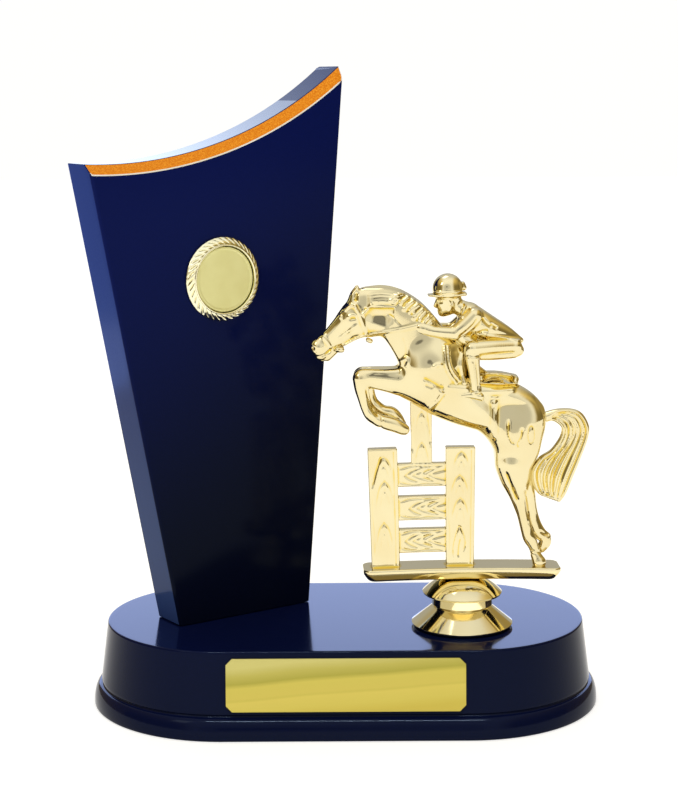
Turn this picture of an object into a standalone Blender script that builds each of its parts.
"""Horse-jumping trophy: a gilt horse and rider clearing a fence, a swept award board and a lacquered plinth.

Metres, +Z up. The origin is the middle of the plinth's underside, and the front of the plinth faces -Y.
The figure is drawn in parts of its own height: u runs along its bar, v across it and w up from the bar's top.
"""
from math import asin, atan2, cos, hypot, pi, radians, sin, sqrt

import bmesh
import bpy
from mathutils import Matrix, Vector

# Clearance left between pieces that touch, and the distance at which points are taken as one
JOINT_GAP = 0.0003
WELD_DISTANCE = 1e-6
SHARP_ANGLE = radians(35)

# Plinth: a stadium in plan, a flared wall over a rounded foot
PLINTH_TOP_LENGTH = 0.188
PLINTH_TOP_WIDTH = 0.0954
PLINTH_HEIGHT = 0.033
PLINTH_EDGE = 0.0008
WALL_FLARE = 0.003
FOOT_HEIGHT = 0.0082
FOOT_FLARE = 0.003
FOOT_EDGE = 0.0012
GROOVE_HEIGHT = 0.0014
GROOVE_DEPTH = 0.0006

# Award board: an upright board, turned on the plinth, with a hollow sweep for its top
BOARD_THICKNESS = 0.018
BOARD_TURN = radians(34.5)
BOARD_CORNER = (-0.0641, -0.0157)
BOARD_FOOT_WIDTH = 0.0604
BOARD_LEFT_HEIGHT = 0.1795
BOARD_LEFT_OVERHANG = 0.0341
BOARD_RIGHT_HEIGHT = 0.2148
BOARD_RIGHT_OVERHANG = 0.0182
BOARD_SWEEP_RADIUS = 0.1665
BOARD_CHAMFER = 0.0038
BOARD_SIDE_EDGE = 0.0012

# Medallion holder: a fluted ring on the board, with a round insert in its recess
HOLDER_DIAMETER = 0.0324
HOLDER_THICKNESS = 0.003
HOLDER_FLUTES = 36
HOLDER_FLUTE_DEPTH = 0.0007
HOLDER_FLUTE_TWIST = radians(15)
HOLDER_PLACE = (0.0212, 0.1344)
HOLDER_RIM = 0.0008
BEAD_WIDTH = 0.0008
INSERT_DIAMETER = 0.025
INSERT_THICKNESS = 0.001
INSERT_SINK = 0.0009

# Nameplate on the front of the plinth
PLATE_LENGTH = 0.0895
PLATE_HEIGHT = 0.020
PLATE_THICKNESS = 0.0008
PLATE_CORNER = 0.0023
PLATE_CENTRE_HEIGHT = 0.0207

# Riser: a turned stand between the plinth and the figure's bar
RISER_PLACE = (0.0455, -0.014)
RISER_HEIGHT = 0.0188
RISER_FOOT_RADIUS = 0.0196
RISER_FOOT_RIM = 0.0013
RISER_LIP = 0.0009
RISER_NECK_RADIUS = 0.0113
RISER_NECK_HEIGHT = 0.0093
RISER_NECK_GROOVE = 0.0005
RISER_CUP_RADIUS = 0.0154
RISER_CUP_HEIGHT = 0.0140
RISER_TOP_RADIUS = 0.0055
RISER_DOME_POWER = 1.5
RISER_WAIST_SHARE = 0.35

# Figure: its height from the bar's top to the helmet, and the turn of its bar
FIGURE_HEIGHT = 0.1128
FIGURE_PARTS = 112.8
FIGURE_TURN = radians(2)
FIGURE_FACES = 5300

BAR_LENGTH = 76.4
BAR_DEPTH = 14.0
BAR_THICKNESS = 5.0
BAR_MIDDLE = -0.4
BAR_CORNER = 3.0
BAR_EDGE = 0.7
BAR_BOW = 0.7

POST_WIDTH = 10.9
POST_DEPTH = 4.6
POST_HEIGHT = 46.6
POST_PLACES = (-29.8, -1.1)
RAIL_HEIGHTS = ((31.3, 40.4), (18.1, 27.6), (5.2, 14.7))
RAIL_DEPTH = 3.4
PROP_PLACE = -15.4
PROP_WIDTH = 7.8
PROP_DEPTH = 3.0
PROP_TOP = 67.0
FENCE_EDGE = 0.5

# Wood grain cut in the fence: peaked strokes, each (middle, foot, width, rise), on both faces
GRAIN_WIDTH = 0.7
POST_GRAIN = ((-0.6, 6.0, 4.6, 11.0), (0.8, 19.0, 4.2, 9.0), (-0.4, 31.0, 4.8, 10.0))
PROP_GRAIN = ((0.2, 3.0, 3.2, 7.0), (-0.3, 11.5, 2.8, 8.0))
RAIL_GRAIN = ((0.0, 2.2, 3.0, 8.5), (0.3, 9.5, 3.4, 8.0))

# The figure's two sides: the near one faces the front
NEAR = -1
FAR = 1

# Limbs of the figure: (u, w, radius) or (u, w, radius, v), from one end to the other
NECK = ((-36.4, 101.6, 6.9), (-29.9, 99.3, 9.1), (-22.9, 95.0, 9.8), (-16.6, 86.8, 10.6), (-11.5, 76.8, 12.0))
WITHERS = ((-11.5, 78.0, 9.5), (-5.0, 81.0, 7.0), (-0.6, 76.5, 5.6), (9.0, 69.0, 4.6))
BARREL = ((-11.5, 76.8, 12.0), (-10.0, 70.3, 10.6), (0.9, 65.2, 10.4), (9.8, 62.7, 9.8), (18.7, 56.5, 11.0))
BREAST = ((-18.6, 79.0, 4.6), (-16.0, 70.6, 7.6))
CROUP = ((9.8, 62.5, 9.6), (17.5, 61.4, 9.3), (23.6, 57.2, 7.9))
HAUNCH = ((19.5, 55.7, 11.5, 1.4), (20.5, 47.2, 9.3, 1.6), (19.4, 40.4, 7.0, 2.2), (19.8, 35.5, 5.6, 2.6))
NEAR_HIND = ((18.7, 38.5, 6.3), (20.7, 28.8, 3.5), (22.7, 19.4, 2.2), (24.4, 13.6, 2.4), (26.9, 8.2, 2.2),
             (28.7, 3.4, 2.3), (29.2, 0.6, 2.8))
FAR_HIND = ((22.6, 37.5, 5.0), (25.2, 27.6, 3.2), (27.1, 19.4, 2.1), (28.8, 14.4, 2.4), (31.0, 10.2, 2.7),
            (33.3, 9.0, 2.1), (31.0, 6.0, 1.9))
HEAD = ((-54.0, 84.9, 3.6), (-50.6, 87.9, 4.0), (-45.5, 92.3, 5.2), (-40.2, 97.0, 7.0), (-36.9, 101.6, 6.3))
JOWL = ((-40.2, 95.6, 6.2), (-34.6, 94.6, 5.3))
MUZZLE = ((-55.0, 85.0, 3.0), (-53.2, 82.6, 2.9))
LIP = ((-52.0, 81.8, 2.2), (-49.0, 85.0, 2.2))
EAR = ((-41.6, 103.2, 2.0, 2.0), (-41.1, 106.0, 1.4, 2.3), (-40.2, 108.6, 0.5, 2.2))
FOREARM = ((-15.0, 70.6, 7.2, 1.4), (-26.9, 72.9, 4.6, 2.0), (-38.2, 74.1, 3.7, 2.0))
NEAR_SHIN = ((-38.9, 73.3, 3.4), (-38.4, 66.6, 2.6), (-35.8, 60.2, 2.6), (-30.0, 56.3, 2.7), (-25.6, 54.7, 2.4),
             (-22.6, 53.0, 1.4))
FAR_SHIN = ((-36.9, 71.9, 2.9), (-35.6, 66.6, 2.3), (-33.3, 62.2, 2.3), (-28.9, 58.9, 2.2), (-25.0, 57.5, 2.3),
            (-22.4, 54.8, 1.4))
LEG_SPREAD = 2.0
# Depth of each limb across the figure, as a share of its depth seen from the side
FLATNESS = {"neck": 0.58, "withers": 0.62, "barrel": 0.74, "breast": 0.8, "croup": 0.78, "haunch": 0.6,
            "hind": 0.9, "head": 0.62, "jowl": 0.72, "muzzle": 0.9, "ear": 0.7, "forearm": 0.72, "shin": 0.95,
            "crest": 1.0, "strap": 0.8, "pad": 2.0, "cantle": 3.8, "bit": 0.9, "torso": 1.05, "chest": 1.3,
            "nape": 1.0, "skull": 0.85, "helmet": 0.86, "brim": 6.6, "knob": 1.2, "arm": 0.8, "thigh": 0.85,
            "boot": 0.8}

# Tail: its locks lie between an inner and an outer edge, from the dock to the tip
TAIL_OUTER = ((30.2, 58.0), (36.5, 59.4), (43.2, 58.5), (46.6, 54.0), (46.4, 49.5), (43.8, 42.0), (40.9, 34.5),
              (38.7, 28.3), (37.4, 25.0))
TAIL_INNER = ((30.6, 56.8), (34.4, 57.4), (38.8, 54.2), (38.6, 49.5), (35.0, 44.0), (30.6, 40.6), (28.2, 35.4),
              (29.8, 29.4), (34.2, 26.6))
TAIL_LOCKS = 6
TAIL_LOCK_WIDTHS = (1.2, 1.2, 1.35, 1.4, 1.5, 1.7, 1.8, 1.5, 0.7)
TAIL_DEPTH = 2.6
TAIL_WAVE = 0.5

# Mane: a ridge on the crest and short locks that fall from it on both sides
CREST = ((-38.0, 107.0), (-32.0, 108.0), (-25.5, 106.8), (-19.0, 103.0), (-14.4, 98.3), (-11.4, 93.0))
CREST_RADIUS = 1.2
MANE_LOCKS = 9
MANE_SPAN = (0.125, 0.96)
MANE_REACH_AT_POLL = (-5.7, -2.3)
MANE_REACH_AT_WITHERS = (-3.8, -3.7)
MANE_ROOT = 0.6
MANE_LOCK_WIDTH = 0.75
MANE_TIP_SHARE = 0.6

# Saddle and harness
PAD = ((4.8, 70.6, 3.1), (12.7, 70.4, 3.6), (18.4, 70.5, 2.7))
CANTLE = ((6.0, 72.8, 1.5), (13.0, 72.9, 1.6), (19.0, 71.9, 1.4))
FLAP = ((-7.4, 85.0, 1.2), (-7.2, 80.0, 1.3), (-5.2, 75.6, 1.3), (-2.4, 73.0, 1.2))
KNEE_ROLL = ((-3.2, 86.5, 1.4), (-2.4, 80.0, 1.6), (-0.6, 74.0, 1.4))
GIRTH = ((-8.4, 68.6, 1.1), (-11.4, 64.2, 1.1), (-14.6, 59.8, 1.4))
NOSEBAND = ((-53.8, 89.8, 0.7), (-52.6, 87.6, 0.7), (-50.4, 84.6, 0.8))
CHEEK_STRAP = ((-42.6, 103.2, 0.7), (-40.0, 98.0, 0.7), (-38.4, 92.4, 0.8))
BIT = ((-47.4, 85.6, 1.0), (-50.2, 86.4, 0.8))
BIT_SPREAD = 2.6

# Rider
TORSO = ((2.4, 97.6, 4.3), (7.8, 92.7, 5.3), (16.2, 89.0, 3.4), (21.5, 87.2, 1.3))
CHEST = ((0.5, 94.6, 3.4), (-1.6, 88.8, 3.4), (3.0, 86.4, 3.4))
NAPE = ((-3.0, 101.4, 2.9), (1.6, 98.4, 3.4))
SKULL = ((-6.4, 104.2, 4.8), (-7.0, 101.2, 4.0), (-8.4, 99.0, 2.3))
HELMET = ((-6.5, 106.6, 6.0), (-6.6, 106.2, 6.2))
BRIM = ((-12.6, 104.8, 0.7), (-7.0, 104.8, 0.8), (-0.6, 105.4, 0.7))
HELMET_KNOB = ((-0.8, 108.4, 1.1), (-0.6, 107.6, 1.0))
ARM = ((3.6, 97.2, 3.3, 4.4), (-0.6, 93.6, 3.0, 5.0), (-4.3, 90.8, 2.5, 5.4), (-13.5, 91.0, 2.1, 5.2),
       (-16.2, 91.7, 2.3, 4.6))
THIGH = ((18.7, 84.3, 3.0, 3.0), (10.8, 84.3, 3.6, 4.6), (2.3, 84.9, 3.6, 6.0))
BOOT = ((3.0, 81.9, 3.0, 6.2), (3.6, 74.9, 2.5, 6.8), (4.2, 69.0, 2.3, 7.0))
SOLE = ((-1.4, 67.2, 1.3, 7.0), (5.4, 66.7, 1.9, 7.0))

# Fineness of the curves
PLINTH_ARC_STEPS = 22
FOOT_STEPS = 4
SWEEP_STEPS = 18
TURNED_STEPS = 36
BOW_STEPS = 9
RISER_DOME_STEPS = 4
BALL_STEPS = 20
LOCK_STEPS = 14
STRAP_STEPS = 6
SKIN_GRAIN = 0.34
SKIN_EASING = 4

# Finishes: colour, roughness and how metallic
LACQUER = ((0.012, 0.020, 0.075), 0.16, 0.0)
GILT = ((0.83, 0.62, 0.26), 0.14, 1.0)
MATT_GOLD = ((0.62, 0.53, 0.30), 0.45, 0.9)
SATIN_GOLD = ((0.80, 0.64, 0.30), 0.32, 0.95)


def clear_scene():
    """Start from an empty file."""
    for item in list(bpy.data.objects):
        bpy.data.objects.remove(item, do_unlink=True)


def make_collection(name):
    """A collection linked to the scene."""
    group = bpy.data.collections.new(name)
    bpy.context.scene.collection.children.link(group)
    return group


def finish(name, look):
    """A plain surface finish."""
    colour, roughness, metallic = look
    material = bpy.data.materials.new(name)
    material.use_nodes = True
    surface = material.node_tree.nodes["Principled BSDF"]
    surface.inputs["Base Color"].default_value = (*colour, 1.0)
    surface.inputs["Roughness"].default_value = roughness
    surface.inputs["Metallic"].default_value = metallic
    return material


def mesh_from(bm, name):
    """Turn an edit mesh into mesh data and free it."""
    bmesh.ops.recalc_face_normals(bm, faces=bm.faces)
    mesh = bpy.data.meshes.new(name)
    bm.to_mesh(mesh)
    bm.free()
    return mesh


def place(name, mesh, material, group, location=(0, 0, 0), turn=(0, 0, 0), parent=None):
    """Add a named piece to the trophy."""
    piece = bpy.data.objects.new(name, mesh)
    piece.location = location
    piece.rotation_euler = turn
    piece.parent = parent
    if material is not None:
        mesh.materials.clear()
        mesh.materials.append(material)
    mesh.shade_smooth()
    mesh.set_sharp_from_angle(angle=SHARP_ANGLE)
    group.objects.link(piece)
    return piece


def baked(piece):
    """The evaluated mesh of an object, welded."""
    bpy.context.view_layer.update()
    depsgraph = bpy.context.evaluated_depsgraph_get()
    mesh = bpy.data.meshes.new_from_object(piece.evaluated_get(depsgraph), depsgraph=depsgraph)
    bm = bmesh.new()
    bm.from_mesh(mesh)
    bmesh.ops.remove_doubles(bm, verts=bm.verts, dist=WELD_DISTANCE)
    bm.to_mesh(mesh)
    bm.free()
    return mesh


def slab(points, thickness, group):
    """An outline in the XY plane made into an edit mesh of the given thickness, centred on the plane."""
    data = bpy.data.curves.new("outline", "CURVE")
    data.dimensions = "2D"
    data.fill_mode = "BOTH"
    data.extrude = thickness / 2
    spline = data.splines.new("POLY")
    spline.points.add(len(points) - 1)
    for point, (x, y) in zip(spline.points, points):
        point.co = (x, y, 0, 1)
    spline.use_cyclic_u = True
    guide = bpy.data.objects.new("outline", data)
    group.objects.link(guide)
    mesh = baked(guide)
    bpy.data.objects.remove(guide, do_unlink=True)
    bm = bmesh.new()
    bm.from_mesh(mesh)
    bmesh.ops.dissolve_limit(bm, angle_limit=radians(0.1), verts=bm.verts, edges=bm.edges)
    return bm


def bevel(bm, edges, width, steps):
    """Round or chamfer some edges."""
    bmesh.ops.bevel(bm, geom=edges, offset=width, segments=steps, profile=0.5, affect="EDGES")


def loft(bm, rows):
    """Join rows of points, each a closed ring with the same count, and cap the first and the last."""
    rings = [[bm.verts.new(point) for point in row] for row in rows]
    for ring, following in zip(rings, rings[1:]):
        count = len(ring)
        for index in range(count):
            beside = (index + 1) % count
            bm.faces.new((ring[index], ring[beside], following[beside], following[index]))
    bm.faces.new(rings[0])
    bm.faces.new(rings[-1])


def stadium(length, width, height):
    """A ring of points round a stadium: two half circles joined by straight sides."""
    radius = width / 2
    reach = length / 2 - radius
    ring = []
    for side in (1, -1):
        for step in range(PLINTH_ARC_STEPS + 1):
            angle = pi * step / PLINTH_ARC_STEPS - pi / 2
            ring.append((side * (reach + radius * cos(angle)), side * radius * sin(angle), height))
    return ring


def plinth_rows():
    """Outset from the top's outline and height of each ring of the plinth, from the top down."""
    groove_top = FOOT_HEIGHT + GROOVE_HEIGHT
    eased = PLINTH_EDGE * (1 - sqrt(0.5))
    rows = [(-PLINTH_EDGE, PLINTH_HEIGHT), (-eased, PLINTH_HEIGHT - eased), (0, PLINTH_HEIGHT - PLINTH_EDGE)]
    rows += [(WALL_FLARE, groove_top), (WALL_FLARE - GROOVE_DEPTH, FOOT_HEIGHT + GROOVE_HEIGHT / 2)]
    for step in range(FOOT_STEPS + 1):
        angle = pi / 2 * step / FOOT_STEPS
        rows.append((WALL_FLARE + FOOT_FLARE * sin(angle), FOOT_EDGE + (FOOT_HEIGHT - FOOT_EDGE) * cos(angle)))
    rows.append((WALL_FLARE + FOOT_FLARE, 0))
    return rows


def make_plinth(material, group):
    """The lacquered plinth."""
    bm = bmesh.new()
    rings = []
    for outset, height in plinth_rows():
        rings.append(stadium(PLINTH_TOP_LENGTH + 2 * outset, PLINTH_TOP_WIDTH + 2 * outset, height))
    loft(bm, rings)
    return place("base", mesh_from(bm, "base"), material, group)


def board_outline():
    """The board's front, from its foot up and over the hollow sweep, left corner at zero."""
    left = Vector((-BOARD_LEFT_OVERHANG, BOARD_LEFT_HEIGHT))
    right = Vector((BOARD_FOOT_WIDTH + BOARD_RIGHT_OVERHANG, BOARD_RIGHT_HEIGHT))
    chord = right - left
    rise = sqrt(BOARD_SWEEP_RADIUS ** 2 - (chord.length / 2) ** 2)
    centre = (left + right) / 2 + Vector((-chord.y, chord.x)).normalized() * rise
    start = atan2(right.y - centre.y, right.x - centre.x)
    swing = -2 * asin(chord.length / 2 / BOARD_SWEEP_RADIUS)
    outline = [(0, 0), (BOARD_FOOT_WIDTH, 0)]
    for step in range(SWEEP_STEPS + 1):
        angle = start + swing * step / SWEEP_STEPS
        outline.append((centre.x + BOARD_SWEEP_RADIUS * cos(angle), centre.y + BOARD_SWEEP_RADIUS * sin(angle)))
    return outline


def make_board(material, group):
    """The award board, with its front face in the plane y = 0 of its own frame."""
    outline = board_outline()
    bm = slab(outline, BOARD_THICKNESS, group)
    bmesh.ops.transform(bm, matrix=Matrix.Rotation(pi / 2, 4, "X"), verts=bm.verts)
    bmesh.ops.translate(bm, vec=(0, BOARD_THICKNESS / 2, 0), verts=bm.verts)
    lowest_top = min(height for _, height in outline[2:]) - BOARD_CHAMFER
    front_top = []
    for edge in bm.edges:
        if all(vert.co.y < JOINT_GAP and vert.co.z > lowest_top for vert in edge.verts):
            front_top.append(edge)
    bevel(bm, front_top, BOARD_CHAMFER, 1)
    sides = []
    for edge in bm.edges:
        low, high = sorted(vert.co.z for vert in edge.verts)
        if low < JOINT_GAP and high > BOARD_LEFT_HEIGHT / 2:
            sides.append(edge)
    bevel(bm, sides, BOARD_SIDE_EDGE, 2)
    location = (*BOARD_CORNER, PLINTH_HEIGHT + JOINT_GAP)
    return place("board", mesh_from(bm, "board"), material, group, location, (0, 0, BOARD_TURN))


def holder_rings():
    """Rings of the medallion holder from its back to the recess floor, its back in the plane z = 0.

    Each row of the profile is a radius, a height, and shares of the flutes' depth and of their twist.
    """
    rim = HOLDER_DIAMETER / 2
    recess = INSERT_DIAMETER / 2 + JOINT_GAP
    bead_outer = recess + BEAD_WIDTH
    floor = HOLDER_THICKNESS - INSERT_SINK - INSERT_THICKNESS - JOINT_GAP
    slope_top = HOLDER_THICKNESS - BEAD_WIDTH / 2
    profile = ((rim, 0, 0, 0), (rim, HOLDER_RIM, 0.5, 0), (rim - 2 * HOLDER_RIM, slope_top - HOLDER_RIM, 1, 0.35),
               (bead_outer, slope_top, 0.6, 1), (bead_outer - BEAD_WIDTH / 2, HOLDER_THICKNESS, 0, 1),
               (recess, slope_top, 0, 1), (recess, floor, 0, 1))
    rings = []
    count = 2 * HOLDER_FLUTES
    for radius, height, fluting, twist in profile:
        ring = []
        for index in range(count):
            angle = 2 * pi * index / count - HOLDER_FLUTE_TWIST * twist
            valley = HOLDER_FLUTE_DEPTH * fluting * (index % 2)
            reach = radius - valley / 2
            ring.append((reach * cos(angle), reach * sin(angle), max(height - valley, 0)))
        rings.append(ring)
    return rings


def on_board(offset):
    """Where the medallion sits in the board's frame, with its face turned to the front."""
    along, up = HOLDER_PLACE
    return Matrix.Translation((along, -offset, up)) @ Matrix.Rotation(pi / 2, 4, "X")


def make_medallion(gold, insert_gold, group, board):
    """The fluted holder and the round insert, both on the board's front."""
    bm = bmesh.new()
    loft(bm, holder_rings())
    bmesh.ops.transform(bm, matrix=on_board(JOINT_GAP), verts=bm.verts)
    place("medallion_holder", mesh_from(bm, "medallion_holder"), gold, group, parent=board)
    bm = bmesh.new()
    bmesh.ops.create_cone(bm, cap_ends=True, segments=TURNED_STEPS, radius1=INSERT_DIAMETER / 2,
                          radius2=INSERT_DIAMETER / 2, depth=INSERT_THICKNESS)
    face_height = HOLDER_THICKNESS - INSERT_SINK
    bmesh.ops.transform(bm, matrix=on_board(JOINT_GAP + face_height - INSERT_THICKNESS / 2), verts=bm.verts)
    place("medallion_insert", mesh_from(bm, "medallion_insert"), insert_gold, group, parent=board)


def make_nameplate(material, group):
    """The nameplate, leaning with the plinth's wall."""
    wall_top = PLINTH_HEIGHT - PLINTH_EDGE
    wall_foot = FOOT_HEIGHT + GROOVE_HEIGHT
    lean = atan2(WALL_FLARE, wall_top - wall_foot)
    half_length = PLATE_LENGTH / 2
    half_height = PLATE_HEIGHT / 2
    outline = []
    for across, up in ((1, -1), (1, 1), (-1, 1), (-1, -1)):
        corner = (across * half_length, up * half_height)
        clipped = [(corner[0] - across * PLATE_CORNER, corner[1]), (corner[0], corner[1] - up * PLATE_CORNER)]
        outline += clipped if across == -up else clipped[::-1]
    bm = slab(outline, PLATE_THICKNESS, group)
    centre_drop = (wall_top - PLATE_CENTRE_HEIGHT) * WALL_FLARE / (wall_top - wall_foot)
    front = -(PLINTH_TOP_WIDTH / 2 + centre_drop)
    stand_off = (JOINT_GAP + PLATE_THICKNESS / 2) / cos(lean)
    location = (0, front - stand_off, PLATE_CENTRE_HEIGHT)
    return place("nameplate", mesh_from(bm, "nameplate"), material, group, location, (pi / 2 - lean, 0, 0))


def riser_profile():
    """Radius and height down the outside of the riser, from its top."""
    points = [(0, RISER_HEIGHT), (RISER_TOP_RADIUS, RISER_HEIGHT)]
    drop = RISER_HEIGHT - RISER_CUP_HEIGHT
    for step in range(1, RISER_DOME_STEPS + 1):
        share = step / RISER_DOME_STEPS
        swell = RISER_TOP_RADIUS + (RISER_CUP_RADIUS - RISER_TOP_RADIUS) * share
        points.append((swell, RISER_HEIGHT - drop * share ** RISER_DOME_POWER))
    cup_under = RISER_CUP_HEIGHT - RISER_LIP
    points.append((RISER_CUP_RADIUS - RISER_LIP / 2, cup_under))
    neck_top = RISER_NECK_HEIGHT + (cup_under - RISER_NECK_HEIGHT) * RISER_WAIST_SHARE
    points += [(RISER_NECK_RADIUS + RISER_LIP, neck_top), (RISER_NECK_RADIUS, RISER_NECK_HEIGHT)]
    points += [(RISER_NECK_RADIUS - RISER_NECK_GROOVE, RISER_NECK_HEIGHT - RISER_NECK_GROOVE)]
    points += [(RISER_NECK_RADIUS, RISER_NECK_HEIGHT - 2 * RISER_NECK_GROOVE)]
    points += [(RISER_FOOT_RADIUS, RISER_FOOT_RIM), (RISER_FOOT_RADIUS - RISER_LIP, 0), (0, 0)]
    return points


def make_riser(material, group, stand):
    """The turned riser under the figure's bar."""
    bm = bmesh.new()
    verts = [bm.verts.new((radius, 0, height)) for radius, height in riser_profile()]
    for upper, lower in zip(verts, verts[1:]):
        bm.edges.new((upper, lower))
    mesh = bpy.data.meshes.new("figure_riser")
    bm.to_mesh(mesh)
    bm.free()
    riser = place("figure_riser", mesh, material, group, (0, 0, PLINTH_HEIGHT + JOINT_GAP), parent=stand)
    turning = riser.modifiers.new("turned", "SCREW")
    turning.steps = TURNED_STEPS
    turning.render_steps = TURNED_STEPS
    turning.use_merge_vertices = True
    turning.merge_threshold = WELD_DISTANCE
    return riser


def block(length, depth, low, high, middle):
    """A plain block from one height to another."""
    bm = bmesh.new()
    bmesh.ops.create_cube(bm, size=1, matrix=Matrix.Translation((middle, 0, (low + high) / 2))
                          @ Matrix.Diagonal((length, depth, high - low, 1)))
    return bm


def timber(length, depth, low, high, middle):
    """A block of the fence, with eased edges."""
    bm = block(length, depth, low, high, middle)
    bevel(bm, list(bm.edges), FENCE_EDGE, 1)
    return bm


def make_bar():
    """The bar under the fence: rounded ends, eased edges, and rings to let it bow."""
    bm = block(BAR_LENGTH, BAR_DEPTH, -BAR_THICKNESS, 0, BAR_MIDDLE)
    uprights = [edge for edge in bm.edges if abs(edge.verts[0].co.z - edge.verts[1].co.z) > BAR_THICKNESS / 2]
    bevel(bm, uprights, BAR_CORNER, 3)
    rims = [edge for edge in bm.edges if abs(edge.verts[0].co.z - edge.verts[1].co.z) < BAR_EDGE]
    bevel(bm, rims, BAR_EDGE, 2)
    for index in range(1, BOW_STEPS):
        at = BAR_MIDDLE + BAR_LENGTH * (index / BOW_STEPS - 0.5)
        everything = list(bm.verts) + list(bm.edges) + list(bm.faces)
        bmesh.ops.bisect_plane(bm, geom=everything, plane_co=(at, 0, 0), plane_no=(1, 0, 0))
    return bm


def bow(mesh):
    """Bow the bar, and lean what stands on it with the bar's slope."""
    half = BAR_LENGTH / 2
    for vert in mesh.vertices:
        along = (vert.co.x - BAR_MIDDLE) / half
        vert.co.x += 2 * BAR_BOW * along / half * vert.co.z
        vert.co.z -= BAR_BOW * along ** 2


def joined(blocks, cutters, name):
    """The union of some closed edit meshes, as mesh data."""
    pieces = []
    for index, bm in enumerate(blocks):
        piece = bpy.data.objects.new(f"{name}_block_{index}", mesh_from(bm, name))
        cutters.objects.link(piece)
        pieces.append(piece)
    whole = pieces[0]
    for piece in pieces[1:]:
        union = whole.modifiers.new("union", "BOOLEAN")
        union.operation = "UNION"
        union.object = piece
    mesh = baked(whole)
    for piece in pieces:
        bpy.data.objects.remove(piece, do_unlink=True)
    return mesh


def add_stroke(bm, ends, peak, face):
    """Add a cutter for one peaked stroke of grain: a thin bent bar, square on its edge, centred on a face."""
    across = (ends[1] - ends[0]).normalized()
    rise = (peak - (ends[0] + ends[1]) / 2).normalized()
    half = GRAIN_WIDTH / 2
    rows = []
    for point, outward, width in ((ends[0], -across, half / 2), (peak, rise, half), (ends[1], across, half / 2)):
        middle = Vector((point.x, face, point.y))
        side = Vector((outward.x, 0, outward.y)) * width
        out = Vector((0, width, 0))
        rows.append((middle + side, middle + out, middle - side, middle - out))
    loft(bm, rows)


def grain_cutters():
    """Every stroke of grain on the posts, the prop and the rails, on both faces of the fence."""
    bm = bmesh.new()
    for side in (NEAR, FAR):
        uprights = [(middle, 0, POST_DEPTH, POST_GRAIN) for middle in POST_PLACES]
        uprights.append((PROP_PLACE, RAIL_HEIGHTS[0][1], PROP_DEPTH, PROP_GRAIN))
        for middle, foot, depth, strokes in uprights:
            for shift, start, width, rise in strokes:
                low = Vector((middle + shift, foot + start))
                ends = (low - Vector((width / 2, 0)), low + Vector((width / 2, 0)))
                add_stroke(bm, ends, low + Vector((0, rise)), side * depth / 2)
        left = POST_PLACES[0] + POST_WIDTH / 2
        for low, high in RAIL_HEIGHTS:
            for shift, start, width, rise in RAIL_GRAIN:
                mark = Vector((left + start, (low + high) / 2 + shift))
                ends = (mark + Vector((rise, width / 2)), mark + Vector((rise, -width / 2)))
                add_stroke(bm, ends, mark, side * RAIL_DEPTH / 2)
    return bm


def carved(mesh, cutters):
    """The fence with its grain cut in."""
    fence = bpy.data.objects.new("plain_fence", mesh)
    strokes = bpy.data.objects.new("grain_strokes", mesh_from(grain_cutters(), "grain_strokes"))
    for piece in (fence, strokes):
        cutters.objects.link(piece)
    cut = fence.modifiers.new("grain", "BOOLEAN")
    cut.operation = "DIFFERENCE"
    cut.object = strokes
    result = baked(fence)
    for piece in (fence, strokes):
        bpy.data.objects.remove(piece, do_unlink=True)
    return result


def make_fence(cutters):
    """The bar, its two posts, three rails and the prop up to the horse's breast, as one mesh."""
    blocks = [make_bar()]
    sunk = -BAR_THICKNESS / 2
    for middle in POST_PLACES:
        blocks.append(timber(POST_WIDTH, POST_DEPTH, sunk, POST_HEIGHT, middle))
    span = POST_PLACES[1] - POST_PLACES[0]
    for low, high in RAIL_HEIGHTS:
        blocks.append(timber(span, RAIL_DEPTH, low, high, (POST_PLACES[0] + POST_PLACES[1]) / 2))
    prop_foot = (RAIL_HEIGHTS[0][0] + RAIL_HEIGHTS[0][1]) / 2
    blocks.append(timber(PROP_WIDTH, PROP_DEPTH, prop_foot, PROP_TOP, PROP_PLACE))
    mesh = carved(joined(blocks, cutters, "fence"), cutters)
    bm = bmesh.new()
    bm.from_mesh(mesh)
    bmesh.ops.triangulate(bm, faces=bm.faces)
    bm.to_mesh(mesh)
    bm.free()
    bow(mesh)
    return mesh


def ball(bm, centre, radius):
    """A round joint of a limb."""
    bmesh.ops.create_uvsphere(bm, u_segments=BALL_STEPS, v_segments=BALL_STEPS // 2, radius=radius,
                              matrix=Matrix.Translation(centre))


def sleeve(bm, start, start_radius, end, end_radius):
    """The tapered tube that just touches two round joints."""
    axis = end - start
    length = axis.length
    if length <= abs(start_radius - end_radius):
        return
    slope = (start_radius - end_radius) / length
    shrink = sqrt(1 - slope * slope)
    way = axis / length
    low = start + way * start_radius * slope
    high = end + way * end_radius * slope
    turn = way.to_track_quat("Z", "Y").to_matrix().to_4x4()
    bmesh.ops.create_cone(bm, cap_ends=True, segments=BALL_STEPS, radius1=start_radius * shrink,
                          radius2=end_radius * shrink, depth=(high - low).length,
                          matrix=Matrix.Translation((low + high) / 2) @ turn)


def add_limb(body, stations, flatness, across=0.0, side=FAR):
    """Add a limb to the body: round joints and tapered sleeves, flattened across the figure."""
    bm = bmesh.new()
    points = []
    for station in stations:
        u, w, radius = station[:3]
        v = station[3] if len(station) > 3 else across
        points.append((Vector((u, side * v / flatness, w)), radius))
    for centre, radius in points:
        ball(bm, centre, radius)
    for (start, start_radius), (end, end_radius) in zip(points, points[1:]):
        sleeve(bm, start, start_radius, end, end_radius)
    for vert in bm.verts:
        vert.co.y *= flatness
    part = bpy.data.meshes.new("limb")
    bm.to_mesh(part)
    bm.free()
    body.from_mesh(part)
    bpy.data.meshes.remove(part)


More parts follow.
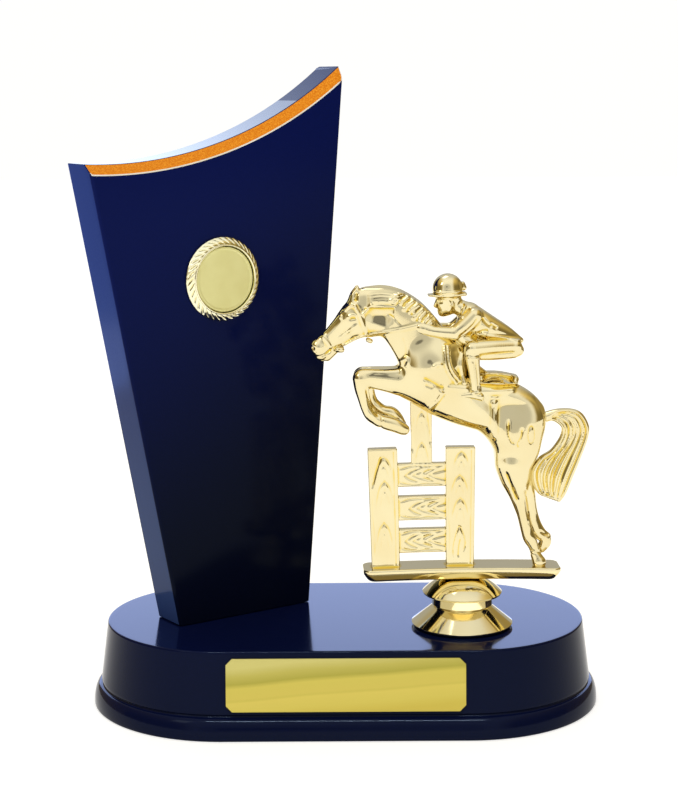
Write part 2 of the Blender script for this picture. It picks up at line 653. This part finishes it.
def add_pair(body, stations, flatness, across=0.0):
    """Add the same limb on both sides of the figure."""
    for side in (NEAR, FAR):
        add_limb(body, stations, flatness, across, side)


def smooth_path(points, share):
    """A point at a share of the way along a smooth curve through the given points."""
    reach = share * (len(points) - 1)
    index = min(int(reach), len(points) - 2)
    local = reach - index
    before = points[max(index - 1, 0)]
    start = points[index]
    end = points[index + 1]
    after = points[min(index + 2, len(points) - 1)]
    result = []
    for p0, p1, p2, p3 in zip(before, start, end, after):
        bend = 2 * p1 + (p2 - p0) * local + (2 * p0 - 5 * p1 + 4 * p2 - p3) * local ** 2
        result.append((bend + (3 * p1 - p0 - 3 * p2 + p3) * local ** 3) / 2)
    return result


def half_depth(u, w, limb, flatness):
    """How far a limb's surface stands from the figure's middle plane at a place seen from the side."""
    deepest = 0.0
    for (u0, w0, r0), (u1, w1, r1) in zip(limb, limb[1:]):
        run = (u1 - u0) ** 2 + (w1 - w0) ** 2
        share = min(max(((u - u0) * (u1 - u0) + (w - w0) * (w1 - w0)) / run, 0), 1)
        away = hypot(u - u0 - share * (u1 - u0), w - w0 - share * (w1 - w0))
        radius = r0 + share * (r1 - r0)
        if away < radius:
            deepest = max(deepest, flatness * sqrt(radius ** 2 - away ** 2))
    return deepest


def add_laid_strap(body, path, limbs):
    """Add a strap or a lock on both sides, laid on the surface of the limbs under it."""
    flatness = FLATNESS["strap"]
    stations = []
    for step in range(STRAP_STEPS + 1):
        u, w, radius = smooth_path(path, step / STRAP_STEPS)
        depth = max(half_depth(u, w, limb, limb_flatness) for limb, limb_flatness in limbs)
        stations.append((u, w, radius, max(depth - radius * flatness / 2, 0)))
    add_pair(body, stations, flatness)


def add_tail(body):
    """The tail: locks side by side between its inner and outer edges."""
    for lock in range(TAIL_LOCKS):
        blend = lock / (TAIL_LOCKS - 1)
        stations = []
        for step in range(LOCK_STEPS + 1):
            share = step / LOCK_STEPS
            inner = smooth_path(TAIL_INNER, share)
            outer = smooth_path(TAIL_OUTER, share)
            width = smooth_path([(value,) for value in TAIL_LOCK_WIDTHS], share)[0]
            wave = TAIL_WAVE * sin(pi * (lock % 2 + 2 * share)) * share
            stations.append((inner[0] + (outer[0] - inner[0]) * blend + wave,
                             inner[1] + (outer[1] - inner[1]) * blend, width))
        add_limb(body, stations, TAIL_DEPTH / max(TAIL_LOCK_WIDTHS))


def add_mane(body):
    """The mane: a ridge along the crest and short locks on both sides of the neck."""
    ridge = [(*smooth_path(CREST, step / LOCK_STEPS), CREST_RADIUS) for step in range(LOCK_STEPS + 1)]
    add_limb(body, ridge, FLATNESS["crest"])
    for lock in range(MANE_LOCKS):
        place_share = lock / (MANE_LOCKS - 1)
        u, w = smooth_path(CREST, MANE_SPAN[0] + (MANE_SPAN[1] - MANE_SPAN[0]) * place_share)
        reach_u, reach_w = Vector(MANE_REACH_AT_POLL).lerp(MANE_REACH_AT_WITHERS, place_share)
        path = ((u + MANE_ROOT, w - MANE_ROOT, MANE_LOCK_WIDTH),
                (u + reach_u / 2, w + reach_w / 2, MANE_LOCK_WIDTH),
                (u + reach_u, w + reach_w, MANE_LOCK_WIDTH * MANE_TIP_SHARE))
        add_laid_strap(body, path, ((NECK, FLATNESS["neck"]),))


def add_horse(body):
    """The horse, leaping: trunk, head, legs, mane and tail."""
    add_limb(body, NECK, FLATNESS["neck"])
    add_limb(body, WITHERS, FLATNESS["withers"])
    add_limb(body, BARREL, FLATNESS["barrel"])
    add_limb(body, BREAST, FLATNESS["breast"])
    add_limb(body, CROUP, FLATNESS["croup"])
    add_pair(body, HAUNCH, FLATNESS["haunch"])
    add_limb(body, NEAR_HIND, FLATNESS["hind"], LEG_SPREAD, NEAR)
    add_limb(body, FAR_HIND, FLATNESS["hind"], LEG_SPREAD, FAR)
    add_limb(body, HEAD, FLATNESS["head"])
    add_limb(body, JOWL, FLATNESS["jowl"])
    add_limb(body, MUZZLE, FLATNESS["muzzle"])
    add_limb(body, LIP, FLATNESS["muzzle"])
    add_pair(body, EAR, FLATNESS["ear"])
    add_pair(body, FOREARM, FLATNESS["forearm"])
    add_limb(body, NEAR_SHIN, FLATNESS["shin"], LEG_SPREAD, NEAR)
    add_limb(body, FAR_SHIN, FLATNESS["shin"], LEG_SPREAD, FAR)
    add_tail(body)
    add_mane(body)


def add_tack(body):
    """The saddle, its pad and flaps, the girth and the bridle."""
    trunk = ((BARREL, FLATNESS["barrel"]), (NECK, FLATNESS["neck"]), (WITHERS, FLATNESS["withers"]))
    head = ((HEAD, FLATNESS["head"]),)
    add_limb(body, PAD, FLATNESS["pad"])
    add_limb(body, CANTLE, FLATNESS["cantle"])
    add_laid_strap(body, FLAP, trunk)
    add_laid_strap(body, KNEE_ROLL, trunk)
    add_laid_strap(body, GIRTH, trunk)
    add_laid_strap(body, NOSEBAND, head)
    add_laid_strap(body, CHEEK_STRAP, head)
    add_pair(body, BIT, FLATNESS["bit"], BIT_SPREAD)


def add_rider(body):
    """The rider, crouched forward in the saddle."""
    add_limb(body, TORSO, FLATNESS["torso"])
    add_limb(body, CHEST, FLATNESS["chest"])
    add_limb(body, NAPE, FLATNESS["nape"])
    add_limb(body, SKULL, FLATNESS["skull"])
    add_limb(body, HELMET, FLATNESS["helmet"])
    add_limb(body, BRIM, FLATNESS["brim"])
    add_limb(body, HELMET_KNOB, FLATNESS["knob"])
    add_pair(body, ARM, FLATNESS["arm"])
    add_pair(body, THIGH, FLATNESS["thigh"])
    add_pair(body, BOOT, FLATNESS["boot"])
    add_pair(body, SOLE, FLATNESS["boot"])


def outer_skin(mesh):
    """Keep only the largest shell of a mesh, so that no sealed hollow stays inside."""
    bm = bmesh.new()
    bm.from_mesh(mesh)
    waiting = set(bm.verts)
    shells = []
    while waiting:
        shell = {waiting.pop()}
        front = list(shell)
        while front:
            vert = front.pop()
            for edge in vert.link_edges:
                other = edge.other_vert(vert)
                if other in waiting:
                    waiting.discard(other)
                    shell.add(other)
                    front.append(other)
        shells.append(shell)
    largest = max(shells, key=len)
    bmesh.ops.delete(bm, geom=[vert for vert in bm.verts if vert not in largest], context="VERTS")
    bm.to_mesh(mesh)
    bm.free()


def sculpted(cutters):
    """The horse and rider as one skin, in the figure's own parts."""
    body = bmesh.new()
    add_horse(body)
    add_tack(body)
    add_rider(body)
    mesh = bpy.data.meshes.new("sculpture")
    body.to_mesh(mesh)
    body.free()
    rough = bpy.data.objects.new("sculpture", mesh)
    cutters.objects.link(rough)
    skin = rough.modifiers.new("skin", "REMESH")
    skin.mode = "VOXEL"
    skin.voxel_size = SKIN_GRAIN
    easing = rough.modifiers.new("easing", "SMOOTH")
    easing.factor = 0.5
    easing.iterations = SKIN_EASING
    fine = baked(rough)
    outer_skin(fine)
    rough.modifiers.clear()
    rough.data = fine
    thinning = rough.modifiers.new("thinning", "DECIMATE")
    thinning.ratio = FIGURE_FACES / (2 * len(fine.polygons))
    mesh = baked(rough)
    bpy.data.objects.remove(rough, do_unlink=True)
    return mesh


def make_figure(material, group, cutters, stand):
    """The moulded figure: horse, rider, fence and bar in one."""
    sculpture = bpy.data.objects.new("sculpture", sculpted(cutters))
    fence = bpy.data.objects.new("fence", make_fence(cutters))
    for piece in (sculpture, fence):
        cutters.objects.link(piece)
    union = sculpture.modifiers.new("moulded in one", "BOOLEAN")
    union.operation = "UNION"
    union.object = fence
    mesh = baked(sculpture)
    for piece in (sculpture, fence):
        bpy.data.objects.remove(piece, do_unlink=True)
    outer_skin(mesh)
    part = FIGURE_HEIGHT / FIGURE_PARTS
    mesh.transform(Matrix.Scale(part, 4))
    bar_top = PLINTH_HEIGHT + RISER_HEIGHT + 2 * JOINT_GAP + BAR_THICKNESS * part
    return place("figure", mesh, material, group, (0, 0, bar_top), (0, 0, FIGURE_TURN), stand)


def main():
    """Build the trophy."""
    clear_scene()
    trophy = make_collection("horse_trophy")
    cutters = make_collection("cutters")
    lacquer = finish("navy lacquer", LACQUER)
    gold = finish("gilt", GILT)
    matt_gold = finish("matt gold", MATT_GOLD)
    satin_gold = finish("satin gold", SATIN_GOLD)
    make_plinth(lacquer, trophy)
    board = make_board(lacquer, trophy)
    make_medallion(gold, matt_gold, trophy, board)
    make_nameplate(satin_gold, trophy)
    stand = bpy.data.objects.new("stand", None)
    stand.location = (*RISER_PLACE, 0)
    trophy.objects.link(stand)
    make_riser(gold, trophy, stand)
    make_figure(gold, trophy, cutters, stand)


main()
